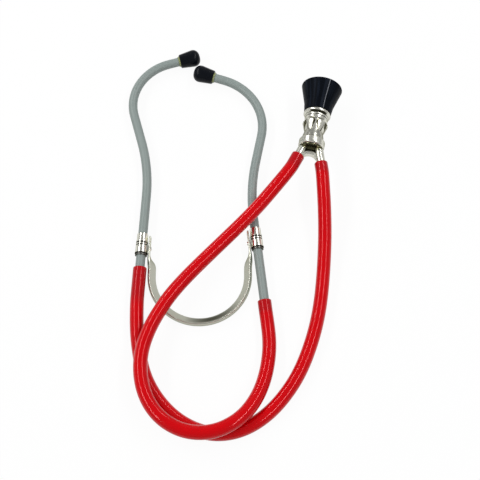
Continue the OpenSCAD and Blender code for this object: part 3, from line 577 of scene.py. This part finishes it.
def petal_outline(mat, place):
    """A mask of painted shade along the six petals' outlines, narrow at the waist and round at the
    top.
    """
    along = place.outputs["Along"]
    turn = calc(mat, "WRAP", place.outputs["Angle"], math.pi / 6, -math.pi / 6)
    aside = calc(mat, "MULTIPLY", calc(mat, "ABSOLUTE", turn), place.outputs["Radius"])
    above = calc(mat, "MAXIMUM", calc(mat, "SUBTRACT", along, PETAL_ROUND), 0.0)
    reach = calc(mat, "SQRT", calc(mat, "ADD", calc(mat, "MULTIPLY", aside, aside),
                                   calc(mat, "MULTIPLY", above, above)))
    half = node(mat, "MapRange")
    for label, value in (("From Min", PETAL_FOOT), ("From Max", PETAL_ROUND),
                         ("To Min", PETAL_FOOT_W), ("To Max", PETAL_TOP_W)):
        half.inputs[label].default_value = value
    link(mat, along, half.inputs["Value"])
    edge = calc(mat, "SUBTRACT", reach, half.outputs["Result"])
    return calc(mat, "MULTIPLY", band(mat, edge, *PETAL_LINE),
                band(mat, along, PETAL_FOOT, PETAL_END, PETAL_ENDS_SOFT))


def leg_plating(settings, side):
    """Bright plating of a sleeve and its stop collar, with painted shade in the joint between
    them, at the bead and at the foot.
    """
    mat, shader = plain_finish(("left", "right")[side] + " sleeve plating",
                               tuple(settings.plating), 1.0, 260, 90, 0.0000015,
                               (0.15, 0.2), drift=0.04)
    place = node(mat, "Group", node_tree=leg_place_group(side))
    foot, bead = zone(mat, place, Along=FOOT_ALONG), zone(mat, place, Along=BEAD_ALONG)
    # Painted shade: dark rings in the joint, at the bead and at the foot
    tint(mat, shader, zone(mat, place, Along=JOINT_ALONG), (0.14, 0.14, 0.125))
    tint(mat, shader, calc(mat, "MAXIMUM", bead, foot), (0.04, 0.04, 0.035))
    return mat


def bell_black(colour):
    """Moulded black with faint draw lines and a painted pale highlight along the parting seam."""
    mat, shader = plain_finish("moulded black", colour, 0.0, 1200, 90, 0.00001, (0.34, 0.46),
                               drift=0.15, gloss=0.03)
    place = node(mat, "Group", node_tree=head_place_group())
    lines = zone(mat, place, Streaks=DRAW_LINES)
    outside = zone(mat, place, Along=BELL_ALONG)
    tint(mat, shader, calc(mat, "MULTIPLY", lines, outside), scaled(colour, 2.5))
    # Painted highlight: a pale band along the seam stands for the light its ridge catches
    seam = band(mat, place.outputs["Angle"], math.radians(SEAM_TURN) - SEAM_HALF_W,
                math.radians(SEAM_TURN) + SEAM_HALF_W, SEAM_SOFT)
    tint(mat, shader, calc(mat, "MULTIPLY", seam, outside), (0.16, 0.17, 0.19))
    return mat


def red_vinyl(settings):
    """Glossy soft vinyl, a little darker where a hose is stretched over metal."""
    mat, shader = new_material("red vinyl")
    shader.inputs["IOR"].default_value = 1.5
    shader.inputs["Specular Tint"].default_value = (1.0, 0.44, 0.46, 1)
    shader.inputs["Specular IOR Level"].default_value = 0.4
    group = add_grain(mat, shader, 260.0, 45.0, 0.000001, (0.1, 0.13), detail=1.0)
    colour = tuple(settings.colour)
    shaded_colour(mat, shader, group, scaled(colour, 0.93), scaled(colour, 1.06))
    grip = node(mat, "Attribute", attribute_name="grip")
    tint(mat, shader, grip.outputs["Fac"], (colour[0] * 0.74, 0.003, 0.006))
    return mat


def spring_steel(settings):
    """Satin steel with a painted dark reflection in a streak of the bend's flat face and a painted
    highlight on the tabs.
    """
    mat, shader = plain_finish("spring steel", tuple(settings.spring), 1.0, 500, 60, 0.000001,
                               (0.3, 0.38), drift=0.08)
    # Painted light: the dull mark is a painted dark reflection, the tab mark a painted highlight
    for mark, factor in (("dull", 0.2), ("tab", 1.8)):
        found = node(mat, "Attribute", attribute_name=mark)
        tint(mat, shader, found.outputs["Fac"], scaled(settings.spring, factor))
    return mat


def make_finishes(scene):
    """Every finish, by the short name that the pieces take it by."""
    metal, plastic = scene.stetho_metal, scene.stetho_plastic
    black, olive = tuple(plastic.black), tuple(plastic.olive)
    return {
        "tube": plain_finish("satin grey tube", tuple(metal.tube), 0.0, 700, 25, 0.00001,
                             (0.34, 0.42), drift=0.04, gloss=0.3)[0],
        "left plating": leg_plating(metal, LEFT),
        "right plating": leg_plating(metal, RIGHT),
        "head plating": head_plating(metal),
        "spring": spring_steel(metal),
        "small metal": plain_finish("dull steel", (0.13, 0.13, 0.12), 1.0, 800, 90, 0.00001,
                                    (0.3, 0.42))[0],
        "soft black": plain_finish("soft black rubber", black, 0.0, 1500, 120, 0.00002,
                                   (0.24, 0.32), drift=0.15, gloss=0.12)[0],
        "hard black": bell_black(black),
        "olive": plain_finish("olive plastic", olive, 0.0, 900, 90, 0.00001, (0.3, 0.42),
                              gloss=0.3)[0],
        "white": plain_finish("white plastic", (0.8, 0.8, 0.78), 0.0, 900, 90, 0.00001,
                              (0.4, 0.5))[0],
        "seal": plain_finish("seal rubber", (0.03, 0.03, 0.03), 0.0, 900, 90, 0.00001,
                             (0.5, 0.6))[0],
        "vinyl": red_vinyl(scene.stetho_hoses),
    }


finishes = {}
NODE_FINISH = {
    "tube": ("left_ear_tube", "right_ear_tube"),
    "left plating": ("left_sleeve", "left_stop_collar", "left_rivet"),
    "right plating": ("right_sleeve", "right_stop_collar", "right_rivet"),
    "head plating": ("barrel", "bell_collar", "swivel_nut", "y_fitting"),
    "spring": ("yoke_spring",),
    "small metal": ("left_snap_ring", "right_snap_ring", "stem_clip"),
    "soft black": ("left_ear_tip", "right_ear_tip"),
    "hard black": ("bell",),
    "olive": ("left_tip_adaptor", "right_tip_adaptor"),
    "white": ("swivel_washer",),
    "seal": ("bell_seal", "stem_ring"),
    "vinyl": ("left_hose", "right_hose"),
}


def place_piece(obj, body, slot, finish, *nodes, flex=None):
    """Gives a piece its finish and its body; slot is not used. When flex is given, the transform
    is baked into the mesh instead of giving a body.
    """
    obj.data.materials.clear()
    obj.data.materials.append(finishes[finish])
    if flex:
        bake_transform(obj)
    else:
        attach(obj, body)
    if nodes:
        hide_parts(*nodes)


class STETHO_OT_stage(bpy.types.Operator):
    """Builds the camera, the floor, the surroundings and the lamps"""

    bl_idname = "stetho.stage"
    bl_label = "Stage"

    def execute(self, context):
        scene = context.scene
        settings = scene.stetho_stage
        scene.view_settings.view_transform = "Standard"
        look_at = Vector(CAMERA_AIM) * MM
        distance, tilt = CAMERA_DISTANCE * MM, math.radians(CAMERA_TILT)
        data = bpy.data.cameras.new("photo camera")
        data.lens, data.sensor_width = CAMERA_LENS, CAMERA_SENSOR
        data.clip_start, data.clip_end = 0.01, 20
        camera = bpy.data.objects.new("photo camera", data)
        camera.location = look_at + Vector((0, -math.sin(tilt), math.cos(tilt))) * distance
        camera.rotation_euler = (tilt, 0, 0)
        context.collection.objects.link(camera)
        scene.camera = camera
        self.floor(context, tuple(settings.backdrop))
        self.world(scene, settings)
        self.lamps(context, settings)
        return {"FINISHED"}

    def floor(self, context, colour):
        """A pale floor with a faint shadow, in the backdrop's colour where rays show it."""
        mesh = bpy.data.meshes.new("floor")
        corners = [(x * FLOOR_HALF, y * FLOOR_HALF, FLOOR_Z)
                   for x, y in ((-1, -1), (1, -1), (1, 1), (-1, 1))]
        mesh.from_pydata(corners, [], [(0, 1, 2, 3)])
        floor = bpy.data.objects.new("floor", mesh)
        context.collection.objects.link(floor)
        mat, shader = new_material("pale floor")
        shader.inputs["Base Color"].default_value = (*scaled(colour, 0.8), 1)
        shader.inputs["Roughness"].default_value = 0.9
        shader.inputs["Specular IOR Level"].default_value = 0.0
        shown = node(mat, "Emission")
        shown.inputs["Color"].default_value = (*colour, 1)
        shown.inputs["Strength"].default_value = 1.0
        share = calc(mat, "MULTIPLY", seen_rays(mat), 0.94)
        mix = mixed(mat, share, shader.outputs["BSDF"], shown.outputs["Emission"])
        out = next(n for n in mat.node_tree.nodes if n.type == "OUTPUT_MATERIAL")
        link(mat, mix, out.inputs["Surface"])
        mesh.materials.append(mat)

    def world(self, scene, settings):
        """White to the camera, an even light, and a sky with a dim top for metal to mirror."""
        world = bpy.data.worlds.new("surroundings")
        scene.world = world
        world.use_nodes = True
        tree = world.node_tree
        tree.nodes.clear()
        out = node(tree, "OutputWorld")
        path = node(tree, "LightPath")
        coord = node(tree, "TexCoord")
        split = node(tree, "SeparateXYZ")
        ramp = node(tree, "ValToRGB")
        link(tree, coord.outputs["Generated"], split.inputs["Vector"])
        link(tree, split.outputs["Z"], ramp.inputs["Fac"])
        while len(ramp.color_ramp.elements) < len(SKY_STOPS):
            ramp.color_ramp.elements.new(0.5)
        for element, (place, level) in zip(ramp.color_ramp.elements, SKY_STOPS):
            element.position = place
            element.color = (level, level, level, 1)
        skies = []
        for colour, strength in (((1, 1, 1), settings.mirror), ((1, 1, 1), settings.sky),
                                 (tuple(settings.backdrop), 1.0)):
            sky = node(tree, "Background")
            sky.inputs["Color"].default_value = (*colour, 1)
            sky.inputs["Strength"].default_value = strength
            skies.append(sky)
        mirrored, even, shown = (sky.outputs["Background"] for sky in skies)
        link(tree, ramp.outputs["Color"], skies[0].inputs["Color"])
        lit = mixed(tree, path.outputs["Is Glossy Ray"], even, mirrored)
        link(tree, mixed(tree, path.outputs["Is Camera Ray"], lit, shown), out.inputs["Surface"])

    def lamps(self, context, settings):
        """Two long strips along the ear tubes, which draw thin streaks along the hoses."""
        for i, (place, share) in enumerate(STRIPS):
            data = bpy.data.lights.new("strip lamp %d" % (i + 1), "AREA")
            data.shape = "RECTANGLE"
            data.size, data.size_y = STRIP_SIZE
            data.energy = settings.strip * share
            lamp = bpy.data.objects.new(data.name, data)
            lamp.location = place
            away = Vector(place)
            lamp.rotation_euler = (0.0, math.atan2(away.x, away.z), 0.0)
            context.collection.objects.link(lamp)


def seen_rays(mat):
    """A value of 1 for rays that show the background: camera, glossy and transmitted ones."""
    path = node(mat, "LightPath")
    seen = calc(mat, "MAXIMUM", path.outputs["Is Camera Ray"], path.outputs["Is Glossy Ray"])
    return calc(mat, "MAXIMUM", seen, path.outputs["Is Transmission Ray"])


def mixed(mat_or_tree, share, first, second):
    """The first shader, and a share of the second one."""
    mix = node(mat_or_tree, "MixShader")
    for sock, value in zip(mix.inputs, (share, first, second)):
        link(mat_or_tree, value, sock)
    return mix.outputs["Shader"]


class STETHO_OT_hoses(bpy.types.Operator):
    """Builds the two red hoses along their routes, hollow and open where the metal goes in"""

    bl_idname = "stetho.hoses"
    bl_label = "Hoses"

    def execute(self, context):
        settings = context.scene.stetho_hoses
        for side, route, name in ((LEFT, LEFT_ROUTE, "left"), (RIGHT, RIGHT_ROUTE, "right")):
            line = self.centre_line(side, route)
            hose = self.hose(name + "_red_hose", line, settings, side)
            flex = HOSE_FLEX if side == LEFT else None
            place_piece(hose, "root", "red_hose", "vinyl", name + "_hose", flex=flex)
        return {"FINISHED"}

    def centre_line(self, side, route):
        """From the cut end on the ear tube, along the route, to the cut end on the spigot."""
        seat, tail = HOSE_SEAT[side], TAIL[side]
        steps = max(3, round((tail - seat) / POINT_GAP))
        points = [leg_at(side, 0, -seat - (tail - seat) * k / steps) for k in range(steps + 1)]
        points += [Vector(p) for p in route]
        seat = SPIGOT_SEAT[1 - side]
        points += [spigot_at(1 - side, SPIGOT_L - (SPIGOT_L - seat) * k / SPIGOT_STEPS)
                   for k in range(SPIGOT_STEPS + 1)]
        return smooth_line(points, LINE_STEPS)

    def hose(self, name, line, settings, side):
        """The outer wall from the first cut end to the last, and the bore back again."""
        outer = settings.diameter / 2
        bores = (TUBE_R + TUBE_FIT, SPIGOT_R + SPIGOT_FIT)
        frames = line_frames(line)
        sides = settings.sides
        total = line_length(line)
        rings, shares = [], []
        grips = (TAIL[side] - HOSE_SEAT[side], SPIGOT_L - SPIGOT_SEAT[1 - side])

        def ring(i, radius, shift, share):
            ahead, across, up = frames[i]
            centre = line[i] + ahead * shift
            rings.append([
                centre + (across * math.cos(a) + up * math.sin(a)) * radius
                for a in (2 * math.pi * k / sides for k in range(sides))
            ])
            shares.append(share)

        last = len(line) - 1
        gone = [0.0]
        for a, b in zip(line, line[1:]):
            gone.append(gone[-1] + (b - a).length)
        fillet = CUT_ROUND * MM

        def grip(at):
            ends = (at / MM / grips[0], (total - at) / MM / grips[1])
            return max(min(1.0, max(0.0, (GRIP_REACH - e) * GRIP_FADE)) for e in ends)

        for angle in CUT_ANGLES:
            c, s = cos_sin(angle)
            ring(0, outer - fillet * (1 - s), fillet * (1 - c), GRIP_AT_CUT)
        for i in range(1, last):
            ring(i, outer, 0, grip(gone[i]))
        for angle in reversed(CUT_ANGLES):
            c, s = cos_sin(angle)
            ring(last, outer - fillet * (1 - s), -fillet * (1 - c), GRIP_AT_CUT)
        for i in range(last, -1, -1):
            bore = bores[1] + (bores[0] - bores[1]) * (1 - gone[i] / total)
            ring(i, bore * MM, 0, 1.0)
        return skin(name, rings, closed=True, shares=shares)


def blended(a, b, share):
    """The value a share of the way from a to b."""
    return a * (1 - share) + b * share


def eased(share):
    """A share that starts and ends gently."""
    return share * share * (3 - 2 * share)


def strip_section(grown):
    """The strip's section: first value outward from the flat face, second across it."""
    w, t = blended(TAB_H, STRIP_W, grown), blended(TAB_T, STRIP_T, grown)
    bevel = STRIP_EDGE / 2
    edge = blended(TAB_T - bevel, STRIP_EDGE, grown)
    section = []
    for k in range(BACK_STEPS + 1):
        u = 2 * k / BACK_STEPS - 1
        section.append((edge + (t - edge) * (1 - u * u), u * (w / 2 - BACK_INSET)))
    for angle in BEVEL_ANGLES:
        c, s = cos_sin(angle)
        section.append((bevel * (1 - s), w / 2 - bevel * (1 - c)))
    for k in range(FLAT_STEPS + 1):
        section.append((0.0, (w / 2 - bevel) * (1 - 2 * k / FLAT_STEPS)))
    for angle in reversed(BEVEL_ANGLES):
        c, s = cos_sin(angle)
        section.append((bevel * (1 - s), -w / 2 + bevel * (1 - c)))
    return section


def strip_seat(grown, lean):
    """Height of the flat face's middle when the leaning strip just meets the table."""
    c, s = cos_sin(lean)
    return -min(q[1] * c - q[0] * s for q in strip_section(grown))


def yoke_stations():
    """Middle of the flat face in metres, growth from tab to strip, and lean, along the yoke."""
    legs = []
    for side in (LEFT, RIGHT):
        tab = [(leg_at(side, TAB_FLAT, TAB_TOP - k * (TAB_TOP + TAB_FOOT) / TAB_STEPS), 0.0, 0.0)
               for k in range(TAB_STEPS + 1)]
        top = leg_at(side, TAB_FLAT, -TAB_FOOT).xy / MM
        foot = Vector((YOKE_XY[0] + SIDE[side] * YOKE_R, YOKE_XY[1] + LEG_STRAIGHT))
        handle = (top.y - foot.y) / 2
        way = leg_at(side, TAB_FLAT, -TAB_FOOT - handle).xy / MM
        low = foot + Vector((0, handle))
        for k in range(1, LEG_STEPS + 1):
            f = k / LEG_STEPS
            p = (top * (1 - f) ** 3 + way * 3 * f * (1 - f) ** 2
                 + low * 3 * f * f * (1 - f) + foot * f**3)
            grown, lean = eased(min(1.0, f / GROWTH_SHARE)), LEG_LEAN * eased(f)
            z = blended(LEG_Z, strip_seat(grown, lean), grown)
            tab.append((Vector((p.x, p.y, z)) * MM, grown, lean))
        legs.append(tab)
    bend = []
    for k in range(BEND_STEPS + 1):
        a = math.radians(180 + 180 * k / BEND_STEPS)
        lean = blended(LEG_LEAN, BEND_LEAN, -math.sin(a))
        p = Vector((YOKE_XY[0] + YOKE_R * math.cos(a), YOKE_XY[1] + YOKE_R * math.sin(a),
                    strip_seat(1.0, lean)))
        bend.append((p * MM, 1.0, lean))
    return [*legs[LEFT], *bend, *reversed(legs[RIGHT])]


class STETHO_OT_yoke(bpy.types.Operator):
    """Builds the yoke spring, a half-round strip that grows out of two flat tabs"""

    bl_idname = "stetho.yoke"
    bl_label = "Yoke spring"

    def execute(self, context):
        stations = yoke_stations()
        middles = [s[0] for s in stations]
        rings = []
        for i, (middle, grown, lean) in enumerate(stations):
            ahead = middles[min(i + 1, len(middles) - 1)] - middles[max(i - 1, 0)]
            out = Vector((ahead.y, -ahead.x, 0)).normalized()
            c, s = cos_sin(lean)
            up = Vector((0, 0, 1))
            rings.append([
                middle + (q[0] * (out * c - up * s) + q[1] * (out * s + up * c)) * MM
                for q in strip_section(grown)
            ])
        yoke = skin("yoke_strip", rings)
        self.mark_steel(yoke, stations)
        edge = yoke.modifiers.new("edges", "EDGE_SPLIT")
        edge.split_angle = math.radians(38)
        place_piece(yoke, "root", "spring_steel", "spring", "yoke_spring", flex=YOKE_FLEX)
        return {"FINISHED"}

    def mark_steel(self, yoke, stations):
        """Marks the painted dark reflection in the bend's flat face and the painted highlight on
        the tabs.
        """
        dull = yoke.data.attributes.new("dull", "FLOAT", "POINT")
        tab = yoke.data.attributes.new("tab", "FLOAT", "POINT")
        section = strip_section(1.0)
        n = len(section)
        for i, (middle, grown, _) in enumerate(stations):
            x = middle.x / MM - YOKE_XY[0]
            low = middle.y / MM < YOKE_XY[1]
            for k, q in enumerate(section):
                tab.data[i * n + k].value = 1.0 - grown
                along = (x - STREAK_X) / STREAK_HALF_L
                across = (q[1] - STREAK_ACROSS) / STREAK_HALF_W
                share = max(0.0, 1.0 - along * along) * max(0.0, 1.0 - across**4)
                on_flat = q[0] < FLAT_LIMIT
                dull.data[i * n + k].value = share if low and on_flat else 0.0


class STETHO_OT_finishes(bpy.types.Operator):
    """Makes the finishes and gives one to each solid"""

    bl_idname = "stetho.finishes"
    bl_label = "Finishes"

    def execute(self, context):
        finishes.update(make_finishes(context.scene))
        for finish, nodes in NODE_FINISH.items():
            for name in nodes:
                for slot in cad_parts[name].material_slots:
                    slot.material = finishes[finish]
        return {"FINISHED"}


class STETHO_PT_panel(bpy.types.Panel):
    """Shows the stethoscope's settings and the buttons that build it"""

    bl_idname = "STETHO_PT_panel"
    bl_label = "Stethoscope"
    bl_space_type = "VIEW_3D"
    bl_region_type = "UI"
    bl_category = "Stethoscope"

    def draw(self, context):
        scene = context.scene
        for title, group in (("Stage", scene.stetho_stage), ("Hoses", scene.stetho_hoses),
                             ("Metal", scene.stetho_metal), ("Plastic", scene.stetho_plastic)):
            box = self.layout.box()
            box.label(text=title)
            for key in group.__annotations__:
                box.prop(group, key)
        for operator in OPERATORS:
            self.layout.operator(operator.bl_idname)


OPERATORS = (STETHO_OT_finishes, STETHO_OT_stage, STETHO_OT_hoses, STETHO_OT_yoke)
SETTINGS = (
    ("stetho_stage", StageSettings),
    ("stetho_hoses", HoseSettings),
    ("stetho_metal", MetalSettings),
    ("stetho_plastic", PlasticSettings),
)


def register():
    for name, group in SETTINGS:
        bpy.utils.register_class(group)
        setattr(bpy.types.Scene, name, PointerProperty(type=group))
    for cls in (*OPERATORS, STETHO_PT_panel):
        bpy.utils.register_class(cls)


def unregister():
    for cls in reversed((*OPERATORS, STETHO_PT_panel)):
        bpy.utils.unregister_class(cls)
    for name, group in reversed(SETTINGS):
        delattr(bpy.types.Scene, name)
        bpy.utils.unregister_class(group)


def main():
    register()
    bpy.ops.stetho.finishes()
    bpy.ops.stetho.stage()
    bpy.ops.stetho.hoses()
    bpy.ops.stetho.yoke()


if __name__ == "__main__":
    main()
